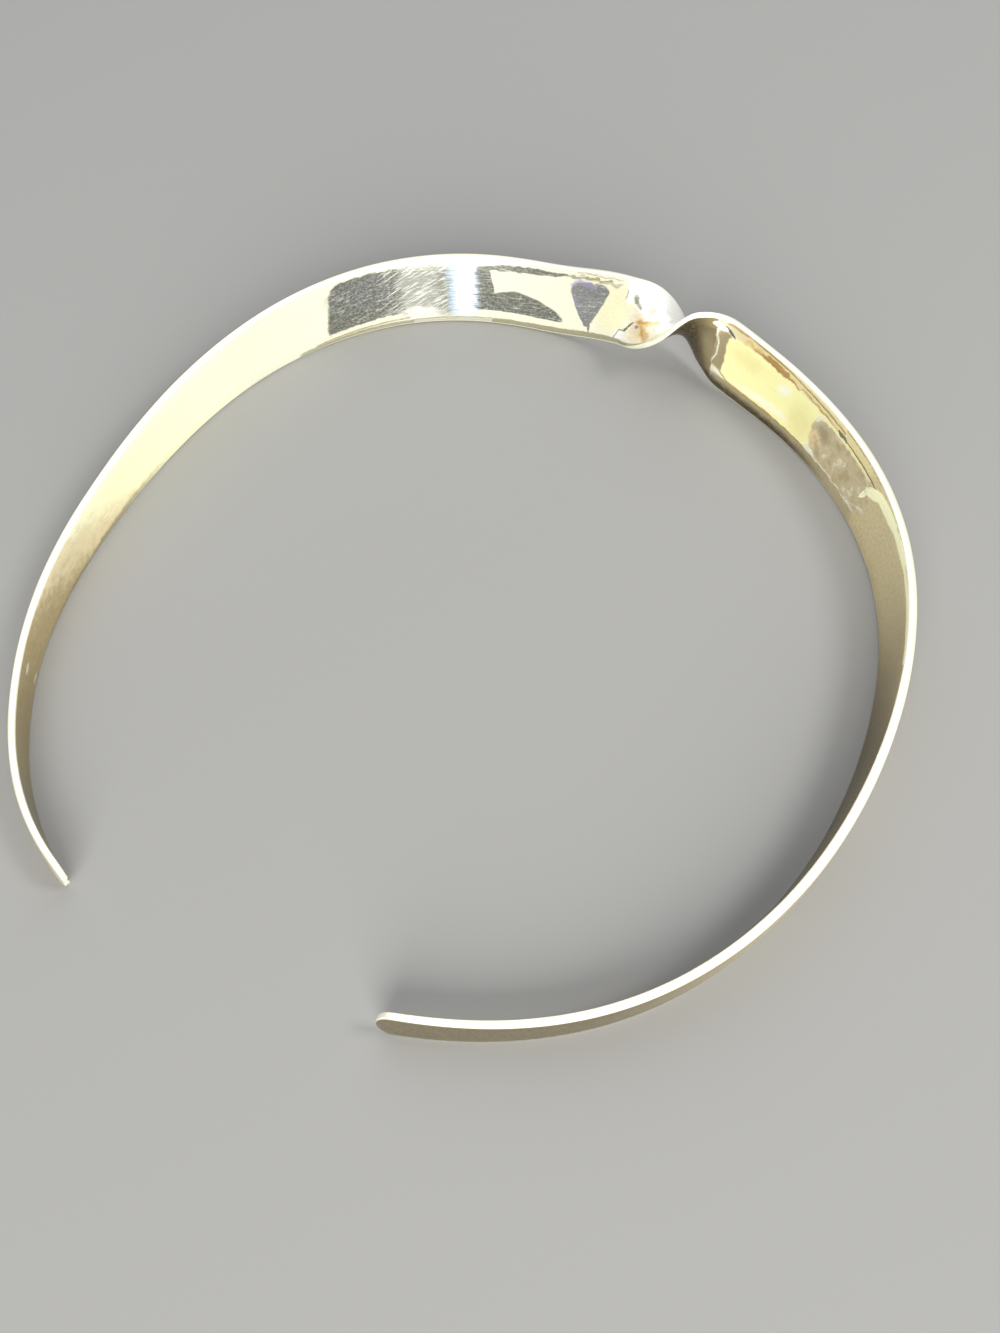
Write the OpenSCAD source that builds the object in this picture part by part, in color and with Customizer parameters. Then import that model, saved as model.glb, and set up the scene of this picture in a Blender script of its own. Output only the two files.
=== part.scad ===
// Twisted collar choker: one flat silver band bent into an open ring, with a half turn at the throat.
// The ring lies on its lower edge. The twist is at -Y, the gap between the ends at +Y, +Z is up.
// A place along the band is its distance from the twist, positive on the arm that runs out to +X.

/* [Ring] */
// Mean radius of the ring at the middle of the band
ring_r = 66; // [58:0.5:76]
// Extra radius at the twist and the gap, taken off at the sides
ring_long = 0.8; // [-2:0.1:3]
// Flattening at the twist, the sides and the gap, with fuller quarters between them
ring_flat = 1.3; // [0:0.1:2]
// Uneven bend of the two arms, two waves round the ring
bend_two = 0.2; // [-1:0.1:1]
// Uneven bend of the two arms, three waves round the ring
bend_three = 1.5; // [-2:0.1:2]
// Uneven bend of the two arms, four waves round the ring
bend_four = -0.5; // [-2:0.1:2]
// Uneven bend of the two arms, five waves round the ring
bend_five = 0.2; // [-1:0.1:1]
// Extra radius at the end of the +X arm, which is bent straighter than the other
end_spread = 1.2; // [0:0.1:3]
// Length of each arm, from the twist to its end
arm_len = 182.6; // [150:0.1:195]

/* [Band] */
// Thickness in the middle of the band beside the twist, where its faces swell a little
crown_t = 1.8; // [1.4:0.1:2.4]
// Thickness at the band's two edges beside the twist
rim_t = 1.4; // [1:0.1:1.6]
// Radius of the band's four softened edges
edge_r = 0.4; // [0.1:0.05:0.45]
// Length over which each end rounds off
tip_round = 2.4; // [1:0.1:4]

/* [Twist] */
// Half the stretch over which the band leaves the table to turn over
twist_half = 24; // [20:1:30]
// How far the middle of the twist rises above the middle of the arms
twist_lift = 3.2; // [0:0.1:4]
// How far the middle of the twist sits inside the ring
twist_inset = 1.4; // [0:0.1:3]
// Sideways swing of the band into and out of the twist
twist_swing = 2.2; // [0:0.1:2.5]

/* [Resolution] */
// Sections in the twist
twist_steps = 72; // [48:2:80]
// Sections along the plain stretch of each arm
arm_steps = 76; // [40:2:80]
// Sections in each rounded end
tip_steps = 7; // [4:1:10]
// Facets in each softened edge
edge_steps = 3; // [2:1:4]

/* [Hidden] */

// Band width by place along an arm, the same on both arms
//        place, width
WIDTH = [[0,     11.0],
         [12,    13.0],
         [25,    12.9],
         [45,    12.7],
         [80,    11.7],
         [125,   10.0],
         [160,   7.0],
         [183,   6.3]];

// Share of its thickness that the band keeps by place along an arm, the same on both arms
//       place, share
THIN = [[0,     1],
        [105,   1],
        [150,   0.86],
        [175,   0.76],
        [184,   0.66]];

// Turn of the band about its own middle line: 0 stands upright, a positive turn leans its top outward,
// and near 180 it is upright again with its faces and edges changed over
//       place, turn
TURN = [[-183,  178],
        [-140,  190],
        [-90,   193],
        [-35,   193],
        [-14,   197],
        [-8,    171],
        [-3,    111],
        [2,     54],
        [6,     24],
        [12,    16],
        [35,    14],
        [90,    3],
        [140,   -3],
        [168,   0],
        [183,   -3]];

// Reach of the twist's inset and of its swing along the band
inset_reach = 8;
swing_reach = 22;
// Place on the +X arm from which its end spreads
spread_start = 148;
// Share of the half width out to which the faces keep their full thickness
crown_share = 0.5;
// First angle of a rounded end, so that it closes on a small flat
tip_start = 10;

function clamp(v, lo, hi) = min(max(v, lo), hi);
function ease(v) = let (u = clamp(v, 0, 1)) u * u * (3 - 2 * u);

// Smooth curve through a two-column table: each inner slope is the harmonic mean of its neighbours
function row_of(t, x, i = 0) = i < len(t) - 2 && x >= t[i + 1][0] ? row_of(t, x, i + 1) : i;
function chord(t, i) = (t[i + 1][1] - t[i][1]) / (t[i + 1][0] - t[i][0]);
function mean_slope(a, b) = a * b <= 0 ? 0 : 2 * a * b / (a + b);
function slope(t, i) =
    i == 0 ? chord(t, 0) :
    i == len(t) - 1 ? chord(t, i - 1) :
    mean_slope(chord(t, i - 1), chord(t, i));
function hermite(u, span, y0, m0, y1, m1) =
    (2 * pow(u, 3) - 3 * pow(u, 2) + 1) * y0 + (pow(u, 3) - 2 * pow(u, 2) + u) * span * m0
    + (3 * pow(u, 2) - 2 * pow(u, 3)) * y1 + (pow(u, 3) - pow(u, 2)) * span * m1;
function at(t, x_in) =
    let (x = clamp(x_in, t[0][0], t[len(t) - 1][0]))
    let (i = row_of(t, x))
    let (span = t[i + 1][0] - t[i][0])
    hermite((x - t[i][0]) / span, span, t[i][1], slope(t, i), t[i + 1][1], slope(t, i + 1));

// Middle line seen from above
function angle_at(s) = s / ring_r * 180 / PI;
function swell(s, reach) = exp(-pow(s / reach, 2));
function radius_at(s) =
    let (a = angle_at(s))
    ring_r + ring_long * cos(2 * a) - ring_flat * cos(4 * a)
    + bend_two * sin(2 * a) + bend_three * sin(3 * a) + bend_four * sin(4 * a) + bend_five * sin(5 * a)
    - twist_inset * swell(s, inset_reach) - twist_swing * s / swing_reach * swell(s, swing_reach)
    + end_spread * ease((s - spread_start) / (arm_len - spread_start));
function plan_at(s) = radius_at(s) * [sin(angle_at(s)), -cos(angle_at(s))];
function along(s) = let (d = plan_at(s + 0.01) - plan_at(s - 0.01)) d / norm(d);
function outward(s) = let (t = along(s)) [t[1], -t[0], 0];

// Width, thickness at the edges, turn, and the height of the middle line that rests an arm's lower edge on
// the table
function width_at(s) = at(WIDTH, abs(s));
function rim_at(s) = rim_t * at(THIN, abs(s));
function turn_at(s) = at(TURN, s);
function rest_height(s) =
    let (lean = turn_at(s) - (s < 0 ? 180 : 0))
    (width_at(s) / 2 - edge_r) * cos(lean) + (rim_at(s) / 2 - edge_r) * abs(sin(lean)) + edge_r;
function twist_height(s) =
    let (share = ease((s / twist_half + 1) / 2))
    rest_height(-twist_half) * (1 - share) + rest_height(twist_half) * share
    + twist_lift * pow(1 - pow(s / twist_half, 2), 3);
function height_at(s) = abs(s) < twist_half ? twist_height(s) : rest_height(s);

// Section of the band in [across the thickness, across the width]: four round corners, and between the two
// corners of each face the stretch of full thickness
SIDES = [[1, 1], [-1, 1], [-1, -1], [1, -1]];
function corner(w, rim, q) = [
    for (k = [0:edge_steps])
        [SIDES[q][0] * (rim / 2 - edge_r), SIDES[q][1] * (w / 2 - edge_r)]
        + edge_r * [cos(90 * (q + k / edge_steps)), sin(90 * (q + k / edge_steps))]];
function crown(w, t, side) = [
    for (end = [side, -side]) [side * -t / 2, end * crown_share * w / 2]];
function strip(w, rim, t) = concat(corner(w, rim, 0), corner(w, rim, 1), crown(w, t, 1),
                                   corner(w, rim, 2), corner(w, rim, 3), crown(w, t, -1));
SECTION_LEN = 4 * (edge_steps + 1) + 4;

// Places of the sections, from the end of the -X arm to the end of the +X arm
function tip_angle(k) = tip_start + (90 - tip_start) * k / tip_steps;
function tip_gap(k) = tip_round * (1 - cos(tip_angle(k)));
plain_len = arm_len - tip_round - twist_half;
HALF = concat(
    [for (k = [0:tip_steps - 1]) [arm_len - tip_gap(k), sin(tip_angle(k))]],
    [for (k = [0:arm_steps - 1]) [arm_len - tip_round - plain_len * k / arm_steps, 1]],
    [for (k = [0:twist_steps / 2 - 1]) [twist_half * (1 - 2 * k / twist_steps), 1]]);
PLACES = concat(
    [for (p = HALF) [-p[0], p[1]]],
    [[0, 1]],
    [for (i = [len(HALF) - 1:-1:0]) HALF[i]]);

// The section at one place, narrower and flatter in a rounded end
function section_at(p) =
    let (s = p[0])
    let (n = outward(s))
    let (a = turn_at(s))
    let (wide = cos(a) * [0, 0, 1] + sin(a) * n)
    let (thick = cos(a) * n - sin(a) * [0, 0, 1])
    let (mid = concat(plan_at(s), [height_at(s)]))
    let (w = max(width_at(s) * p[1], 2 * edge_r + 0.1))
    let (rim = rim_at(s))
    let (t = rim * (1 + (crown_t / rim_t - 1) * p[1]))
    [for (q = strip(w, rim, t)) mid + q[0] * thick + q[1] * wide];

RAW = [for (p = PLACES) each section_at(p)];
LOW = [for (k = [0:2]) min([for (q = RAW) q[k]])];
HIGH = [for (k = [0:2]) max([for (q = RAW) q[k]])];
// The origin is the middle of the outline, on the table
ORIGIN = [(LOW[0] + HIGH[0]) / 2, (LOW[1] + HIGH[1]) / 2, LOW[2]];
POINTS = [for (q = RAW) q - ORIGIN];

function point_no(i, k) = i * SECTION_LEN + (k % SECTION_LEN);
WALLS = [
    for (i = [0:len(PLACES) - 2], k = [0:SECTION_LEN - 1])
        each [[point_no(i, k), point_no(i, k + 1), point_no(i + 1, k)],
              [point_no(i, k + 1), point_no(i + 1, k + 1), point_no(i + 1, k)]]];
ENDS = [
    [for (k = [SECTION_LEN - 1:-1:0]) point_no(0, k)],
    [for (k = [0:SECTION_LEN - 1]) point_no(len(PLACES) - 1, k)]];

// The whole choker is this one band: it has no clasp, hinge or stone
module collar_band() {
    color("#d9d3c0")
        polyhedron(points = POINTS, faces = concat(WALLS, ENDS), convexity = 8);
}

collar_band();
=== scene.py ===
"""Twisted collar choker: a bent and twisted band of worn silver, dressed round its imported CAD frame.
The band is drawn out straight, section by section, then bent along its plan line and lifted onto its edge."""

import math
from collections import namedtuple

import bmesh
import bpy
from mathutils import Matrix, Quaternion, Vector


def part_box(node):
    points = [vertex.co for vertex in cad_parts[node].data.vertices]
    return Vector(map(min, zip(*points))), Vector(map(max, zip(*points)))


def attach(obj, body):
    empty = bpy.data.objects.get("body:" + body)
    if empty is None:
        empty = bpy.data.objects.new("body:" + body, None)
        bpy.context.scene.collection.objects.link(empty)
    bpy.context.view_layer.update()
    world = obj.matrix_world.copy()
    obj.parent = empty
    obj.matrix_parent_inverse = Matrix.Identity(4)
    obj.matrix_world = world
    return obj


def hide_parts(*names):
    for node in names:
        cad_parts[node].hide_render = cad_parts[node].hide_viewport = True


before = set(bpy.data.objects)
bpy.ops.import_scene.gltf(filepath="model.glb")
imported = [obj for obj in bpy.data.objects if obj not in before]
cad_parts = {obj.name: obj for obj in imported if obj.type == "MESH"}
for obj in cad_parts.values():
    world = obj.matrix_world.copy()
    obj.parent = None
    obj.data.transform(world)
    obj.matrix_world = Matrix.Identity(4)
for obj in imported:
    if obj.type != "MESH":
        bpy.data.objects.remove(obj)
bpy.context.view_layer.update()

bl_info = {
    "name": "Twisted Collar Choker",
    "version": (1, 0, 0),
    "blender": (4, 5, 0),
    "location": "3D View > Sidebar > Choker",
    "description": "Models a twisted silver collar choker and its stage",
    "category": "Add Mesh",
}

MM = 0.001

# Band width by place along an arm, in millimetres: place, width
WIDTH = ((0, 11.0), (12, 13.0), (25, 12.9), (45, 12.7), (80, 11.7), (125, 10.0), (160, 7.0), (183, 6.3))
# Share of its thickness that the band keeps by place along an arm: place, share
THIN = ((0, 1), (105, 1), (150, 0.86), (175, 0.76), (184, 0.66))
# Turn of the band about its middle line, in degrees: place, turn
TURN = ((-183, 178), (-140, 190), (-90, 193), (-35, 193), (-14, 197), (-8, 171), (-3, 111),
        (2, 54), (6, 24), (12, 16), (35, 14), (90, 3), (140, -3), (168, 0), (183, -3))
# First angle of a rounded end
TIP_START = 10
# Share of the thickness that the very tip loses
TIP_FLATTER = 0.4
# Dings beside the twist, in millimetres: face, middle along and across the band, reach, depth
DINGS = (
    (-1, (4.6, 3.0), (1.0, 1.5), 0.22),
    (-1, (4.4, -3.9), (2.0, 1.0), 0.16),
    (-1, (0.3, 1.2), (0.9, 1.2), 0.10),
    (1, (-12.0, -5.0), (1.2, 0.9), 0.16),
    (1, (-12.6, 0.0), (1.0, 3.0), 0.10),
    (1, (-26, 0.5), (4.0, 2.0), 0.08),
)
# Lift off the floor, and depth of a ding, at full weight, in millimetres
FULL_LIFT = 20
FULL_DING = 0.3
# Size of the hammer marks, in millimetres
HAMMER_MARK = 11
# Narrowest flat that a section keeps between its round edges, in millimetres
LEAST_FLAT = 0.1
# Tilt of the plan line at which the band stands upright, in degrees
UPRIGHT = 90
# The profile is drawn at this width, and each section scales it
DRAWN_WIDTH = 10
# Points of the profile that lie this near each other, as a share of its half width, are in one row
SAME_ROW = 0.002


def chord(table, i):
    return (table[i + 1][1] - table[i][1]) / (table[i + 1][0] - table[i][0])


def slope(table, i):
    if i == 0:
        return chord(table, 0)
    if i == len(table) - 1:
        return chord(table, i - 1)
    before, after = chord(table, i - 1), chord(table, i)
    return 0 if before * after <= 0 else 2 * before * after / (before + after)


def at(table, x):
    """The smooth curve through a two-column table, at x."""
    x = min(max(x, table[0][0]), table[-1][0])
    i = max(k for k in range(len(table) - 1) if k == 0 or x >= table[k][0])
    span = table[i + 1][0] - table[i][0]
    u = (x - table[i][0]) / span
    return ((2 * u**3 - 3 * u**2 + 1) * table[i][1]
            + (u**3 - 2 * u**2 + u) * span * slope(table, i)
            + (3 * u**2 - 2 * u**3) * table[i + 1][1]
            + (u**3 - u**2) * span * slope(table, i + 1))


def ease(share):
    share = min(max(share, 0), 1)
    return share * share * (3 - 2 * share)


def plan_at(band, place):
    """A point of the middle line seen from above, in millimetres."""
    angle = place / band.ring_radius
    inset = band.twist_inset * math.exp(-(place / band.inset_reach) ** 2)
    swing = band.twist_swing * place / band.swing_reach * math.exp(-(place / band.swing_reach) ** 2)
    radius = (band.ring_radius + band.ring_long * math.cos(2 * angle) - band.ring_flat * math.cos(4 * angle)
              + band.bend_two * math.sin(2 * angle) + band.bend_three * math.sin(3 * angle)
              + band.bend_four * math.sin(4 * angle) + band.bend_five * math.sin(5 * angle) - inset - swing)
    radius += band.end_spread * ease((place - band.spread_start) / (band.arm_length - band.spread_start))
    return Vector((radius * math.sin(angle), -radius * math.cos(angle), 0))


def rest_height(band, place):
    """Height of the middle line that rests an arm's lower edge on the floor."""
    lean = math.radians(at(TURN, place) - (180 if place < 0 else 0))
    half = at(WIDTH, abs(place)) / 2 - band.edge_radius
    rim = band.rim_thickness * at(THIN, abs(place))
    side = (rim / 2 - band.edge_radius) * abs(math.sin(lean))
    return half * math.cos(lean) + side + band.edge_radius


def height_at(band, place):
    reach = band.twist_half
    if abs(place) >= reach:
        return rest_height(band, place)
    share = ease((place / reach + 1) / 2)
    rise = band.twist_lift * (1 - (place / reach) ** 2) ** 3
    return rest_height(band, -reach) * (1 - share) + rest_height(band, reach) * share + rise


def section_places(band):
    """Place and share of the full width of each section, from end to end."""
    angles = [math.radians(TIP_START + (90 - TIP_START) * k / band.tip_steps) for k in range(band.tip_steps)]
    tip = [(band.arm_length - band.tip_round * (1 - math.cos(a)), math.sin(a)) for a in angles]
    plain = band.arm_length - band.tip_round - band.twist_half
    arm = [(band.arm_length - band.tip_round - plain * k / band.arm_steps, 1) for k in range(band.arm_steps)]
    twist = [(band.twist_half * (1 - k / band.twist_steps), 1) for k in range(band.twist_steps)]
    half = tip + arm + twist
    return [(-place, share) for place, share in half] + [(0, 1)] + half[::-1]


def select_where(mesh, wanted):
    """In edit mode, selects the vertices that wanted() accepts, and the edges between them."""
    bpy.ops.mesh.select_all(action="DESELECT")
    shape = bmesh.from_edit_mesh(mesh)
    for vertex in shape.verts:
        vertex.select_set(wanted(vertex.co))
    shape.select_flush_mode()
    bmesh.update_edit_mesh(mesh)


def draw_profile(band):
    """The section of the bar: a strip with round edges and faces that swell a little towards the middle."""
    bpy.ops.object.select_all(action="DESELECT")
    bpy.ops.mesh.primitive_plane_add(size=MM, rotation=(0, math.pi / 2, 0))
    bar = bpy.context.object
    bpy.ops.object.transform_apply(location=True, rotation=True, scale=True)
    bpy.ops.object.mode_set(mode="EDIT")
    bpy.ops.mesh.select_all(action="SELECT")
    bpy.ops.transform.resize(value=(1, DRAWN_WIDTH, band.rim_thickness), center_override=(0, 0, 0))
    bpy.ops.mesh.bevel(offset=band.edge_radius * MM, segments=band.edge_steps, affect="VERTICES")
    # The two long sides are cut into rows
    shape = bmesh.from_edit_mesh(bar.data)
    bpy.ops.mesh.select_all(action="DESELECT")
    for edge in shape.edges:
        edge.select_set(edge.calc_length() > DRAWN_WIDTH * MM / 2)
    bmesh.update_edit_mesh(bar.data)
    bpy.ops.mesh.subdivide(number_cuts=band.face_cuts)
    flat = (DRAWN_WIDTH / 2 - band.edge_radius) * MM
    rows = {round(abs(vertex.co.y) / flat, 3) for vertex in bmesh.from_edit_mesh(bar.data).verts}
    for row in sorted(share for share in rows if share < 1 - SAME_ROW):
        border = max(0, (row - band.flat_share) / (1 - band.flat_share))
        swell = 1 + (band.thickness / band.rim_thickness - 1) * (1 - border**2)
        select_where(bar.data, lambda co, row=row: abs(abs(co.y) / flat - row) < SAME_ROW)
        bpy.ops.transform.resize(value=(1, 1, swell), center_override=(0, 0, 0))
    bpy.ops.mesh.select_all(action="SELECT")
    return bar


def draw_out(band):
    """Pulls the selected profile out into a straight bar, section by section.
    Returns the place of each section on the band, and how far along the bar it is."""
    places = section_places(band)
    plan = [plan_at(band, place) for place, _ in places]
    run = [0.0]
    for before, after in zip(plan, plan[1:]):
        run.append(run[-1] + (after - before).length)
    width, thick = DRAWN_WIDTH, 1.0
    for i, (place, share) in enumerate(places):
        if i:
            bpy.ops.mesh.extrude_region_move(
                TRANSFORM_OT_translate={"value": ((run[i] - run[i - 1]) * MM, 0, 0)})
        wide = max(at(WIDTH, abs(place)) * share, 2 * band.edge_radius + LEAST_FLAT)
        deep = at(THIN, abs(place)) * (1 - TIP_FLATTER * (1 - share))
        bpy.ops.transform.resize(value=(1, wide / width, deep / thick), center_override=(run[i] * MM, 0, 0))
        width, thick = wide, deep
    bpy.ops.mesh.select_all(action="SELECT")
    bpy.ops.mesh.normals_make_consistent(inside=False)
    bpy.ops.object.mode_set(mode="OBJECT")
    return places, run


def ding_depth(place):
    """How deep the band is knocked in at a place on one of its faces."""
    total = 0
    for face, middle, reach, depth in DINGS:
        if place.z * face > 0:
            along, across = (place.x - middle[0]) / reach[0], (place.y - middle[1]) / reach[1]
            total += depth * math.exp(-along**2 - across**2)
    return total


def mark_places(band, bar, places, run):
    """Keeps each point's place on the straight bar, which the finish follows, and its lift off the floor."""
    middle = run[len(run) // 2]
    lift = bar.vertex_groups.new(name="lift")
    dings = bar.vertex_groups.new(name="dings")
    order = sorted(range(len(bar.data.vertices)), key=lambda k: bar.data.vertices[k].co.x)
    size = len(order) // len(places)
    rows = [order[i * size:(i + 1) * size] for i in range(len(places))]
    for (place, _), members in zip(places, rows):
        lift.add(members, height_at(band, place) / FULL_LIFT, "REPLACE")
    bar.data.attributes.new("strip_place", "FLOAT_VECTOR", "POINT")
    bar.data.attributes.new("rim_gap", "FLOAT", "POINT")
    strip, rim = bar.data.attributes["strip_place"], bar.data.attributes["rim_gap"]
    for members in rows:
        half = max(abs(bar.data.vertices[k].co.y) for k in members)
        for k in members:
            co = bar.data.vertices[k].co
            strip.data[k].vector = (co.x - middle * MM, co.y, co.z)
            rim.data[k].value = half - abs(co.y)
            dings.add([k], min(1, ding_depth(strip.data[k].vector / MM) / FULL_DING), "REPLACE")


def plan_line(band, places):
    """The curve that the bar is bent along. Its tilt turns the band about its own middle line."""
    line = bpy.data.curves.new("plan_line", "CURVE")
    line.dimensions = "3D"
    line.twist_mode = "Z_UP"
    line.use_deform_bounds = True
    spline = line.splines.new("POLY")
    spline.points.add(len(places) - 1)
    for point, (place, _) in zip(spline.points, places):
        point.co = (*(plan_at(band, place) * MM), 1)
        point.tilt = math.radians(at(TURN, place) + UPRIGHT)
    guide = bpy.data.objects.new("plan_line", line)
    bpy.context.scene.collection.objects.link(guide)
    return guide


def apply_modifiers(piece):
    bpy.ops.object.select_all(action="DESELECT")
    piece.select_set(True)
    bpy.context.view_layer.objects.active = piece
    for modifier in list(piece.modifiers):
        bpy.ops.object.modifier_apply(modifier=modifier.name)


def bend(band, bar, guide):
    """Hammers the bar a little uneven, bends it along the plan line and lifts it onto its edge."""
    marks = bpy.data.textures.new("hammer_marks", "CLOUDS")
    marks.noise_scale = HAMMER_MARK * MM
    marks.noise_depth = 1
    uneven = bar.modifiers.new("uneven", "DISPLACE")
    uneven.texture = marks
    uneven.texture_coords = "LOCAL"
    uneven.strength = band.uneven * MM
    uneven.mid_level = 0.5
    knocks = bar.modifiers.new("dings", "DISPLACE")
    knocks.mid_level = 0
    knocks.strength = -FULL_DING * MM
    knocks.vertex_group = "dings"
    curved = bar.modifiers.new("bend", "CURVE")
    curved.object = guide
    curved.deform_axis = "POS_X"
    raised = bar.modifiers.new("lift", "DISPLACE")
    raised.direction = "Z"
    raised.mid_level = 0
    raised.strength = FULL_LIFT * MM
    raised.vertex_group = "lift"
    smooth = bar.modifiers.new("smooth", "SUBSURF")
    smooth.levels = smooth.render_levels = 1
    apply_modifiers(bar)
    bpy.data.objects.remove(guide)


def fill(tree, socket, value):
    """Links an input to another node's output, or sets it to a plain value."""
    if isinstance(value, bpy.types.NodeSocket):
        tree.links.new(value, socket)
    else:
        socket.default_value = value


def put(tree, kind, sockets=None, **settings):
    """Adds a node, sets its settings, and fills its inputs by name or number."""
    node = tree.nodes.new(kind)
    for name, value in settings.items():
        setattr(node, name, value)
    for key, value in (sockets or {}).items():
        fill(tree, node.inputs[key], value)
    return node


def math_node(tree, operation, *values):
    return put(tree, "ShaderNodeMath", dict(enumerate(values)), operation=operation).outputs[0]


def vector_node(tree, operation, *values):
    return put(tree, "ShaderNodeVectorMath", dict(enumerate(values)), operation=operation).outputs["Vector"]


def scaled(tree, vector, factor):
    node = put(tree, "ShaderNodeVectorMath", {0: vector, "Scale": factor}, operation="SCALE")
    return node.outputs["Vector"]


def split(tree, vector):
    return put(tree, "ShaderNodeSeparateXYZ", {0: vector}).outputs


def noise(tree, place, scale, detail, roughness=0.5):
    sockets = {"Vector": place, "Scale": scale, "Detail": detail, "Roughness": roughness}
    return put(tree, "ShaderNodeTexNoise", sockets).outputs


def ramp(tree, value, low, high):
    """0 at low, 1 at high, and a smooth rise between them."""
    node = put(tree, "ShaderNodeMapRange", {"Value": value, "From Min": low, "From Max": high},
               interpolation_type="SMOOTHSTEP", clamp=False)
    return node.outputs["Result"]


def step_down(tree, value, edge, soft):
    """1 below an edge, 0 above it, soft on both sides of it."""
    outer, inner = math_node(tree, "ADD", edge, soft), math_node(tree, "SUBTRACT", edge, soft)
    return ramp(tree, value, outer, inner)


def blend(tree, share, under, over, kind="RGBA"):
    """Lays one colour or vector over another by a share from 0 to 1."""
    node = put(tree, "ShaderNodeMix", data_type=kind)
    sockets = [socket for socket in node.inputs if socket.enabled]
    for socket, value in zip(sockets, (share, under, over)):
        fill(tree, socket, value)
    return next(socket for socket in node.outputs if socket.enabled)


def dot(tree, first, second):
    product = math_node(tree, "MULTIPLY", first[1], second[1])
    return math_node(tree, "MULTIPLY_ADD", first[0], second[0], product)


def new_group(name, inputs, output):
    """Starts a group that puts out one number. Returns it, what it is given, and where its result goes."""
    group = bpy.data.node_groups.new(name, "ShaderNodeTree")
    for label, value in inputs.items():
        kind = "NodeSocketVector" if isinstance(value, tuple) else "NodeSocketFloat"
        group.interface.new_socket(label, in_out="INPUT", socket_type=kind).default_value = value
    group.interface.new_socket(output, in_out="OUTPUT", socket_type="NodeSocketFloat")
    given = group.nodes.new("NodeGroupInput").outputs
    return group, given, group.nodes.new("NodeGroupOutput").inputs[output]


WAYS = ("Along", "Across")
# The least that a taper leaves of a patch's reach
LEAST_REACH = 0.05


def mark_group(name, *labels):
    """Starts a group that draws one mark on one face. Returns what new_group returns."""
    return new_group(name, dict.fromkeys((*WAYS, "On Face", "Soft", *labels), 0.0), "Mask")


def patch_group():
    """A ragged patch: an oval, or with more squareness a box, that may narrow across the band."""
    group, given, mask = mark_group("Worn Patch", "Middle Along", "Middle Across", "Reach Along",
                                    "Reach Across", "Turn", "Taper", "Square")
    along, across = (math_node(group, "SUBTRACT", given[way], given["Middle " + way]) for way in WAYS)
    cosine, sine = (math_node(group, kind, given["Turn"]) for kind in ("COSINE", "SINE"))
    long = math_node(group, "SUBTRACT", math_node(group, "MULTIPLY", along, cosine),
                     math_node(group, "MULTIPLY", across, sine))
    wide = math_node(group, "MULTIPLY_ADD", along, sine, math_node(group, "MULTIPLY", across, cosine))
    long = math_node(group, "DIVIDE", long, given["Reach Along"])
    wide = math_node(group, "DIVIDE", wide, given["Reach Across"])
    widen = math_node(group, "MULTIPLY_ADD", wide, given["Taper"], 1.0)
    long = math_node(group, "DIVIDE", long, math_node(group, "MAXIMUM", widen, LEAST_REACH))
    parts = [math_node(group, "POWER", math_node(group, "ABSOLUTE", value), given["Square"])
             for value in (long, wide)]
    total = math_node(group, "ADD", *parts)
    far = math_node(group, "POWER", total, math_node(group, "DIVIDE", 1.0, given["Square"]))
    drawn = step_down(group, far, 1.0, given["Soft"])
    group.links.new(math_node(group, "MULTIPLY", drawn, given["On Face"]), mask)
    return group


def line_group():
    """A drawn line, ragged, and thinner towards its ends."""
    group, given, mask = mark_group("Drawn Line", "From Along", "From Across", "To Along", "To Across",
                                    "Width", "Taper")
    away = [math_node(group, "SUBTRACT", given[way], given["From " + way]) for way in WAYS]
    run = [math_node(group, "SUBTRACT", given["To " + way], given["From " + way]) for way in WAYS]
    share = math_node(group, "DIVIDE", dot(group, away, run), dot(group, run, run))
    share = math_node(group, "MINIMUM", math_node(group, "MAXIMUM", share, 0.0), 1.0)
    aside = [math_node(group, "SUBTRACT", value, math_node(group, "MULTIPLY", share, step))
             for value, step in zip(away, run)]
    far = math_node(group, "SQRT", dot(group, aside, aside))
    ends = math_node(group, "POWER", math_node(group, "MULTIPLY_ADD", share, 2.0, -1.0), 2.0)
    thin = math_node(group, "SUBTRACT", 1.0, math_node(group, "MULTIPLY", ends, given["Taper"]))
    drawn = step_down(group, far, math_node(group, "MULTIPLY", given["Width"], thin), given["Soft"])
    group.links.new(math_node(group, "MULTIPLY", drawn, given["On Face"]), mask)
    return group


# Noise above which scratches show with no cover, how much of it full cover takes off, and their soft edge
BARE_LEVEL = 0.75
COVER_DROP = 0.4
SCRATCH_EDGE = 0.14


def scratch_group():
    """Fine straight scratches at one angle to the band's length."""
    inputs = {"Place": (0, 0, 0), "Angle": 0.0, "Length": 6.0, "Spacing": 0.15, "Cover": 0.5}
    group, given, lines = new_group("Fine Scratches", inputs, "Lines")
    turned = put(group, "ShaderNodeVectorRotate", {"Vector": given["Place"], "Angle": given["Angle"]},
                 rotation_type="Z_AXIS").outputs["Vector"]
    cell = put(group, "ShaderNodeCombineXYZ",
               {"X": given["Length"], "Y": given["Spacing"], "Z": given["Length"]}).outputs["Vector"]
    drawn = vector_node(group, "DIVIDE", turned, cell)
    level = noise(group, drawn, scale=1.0, detail=2.0, roughness=0.6)["Fac"]
    low = math_node(group, "SUBTRACT", BARE_LEVEL, math_node(group, "MULTIPLY", given["Cover"], COVER_DROP))
    high = math_node(group, "ADD", low, SCRATCH_EDGE)
    group.links.new(ramp(group, level, low, high), lines)
    return group


def use_group(tree, group, sockets):
    return put(tree, "ShaderNodeGroup", sockets, node_tree=group).outputs[0]


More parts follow.
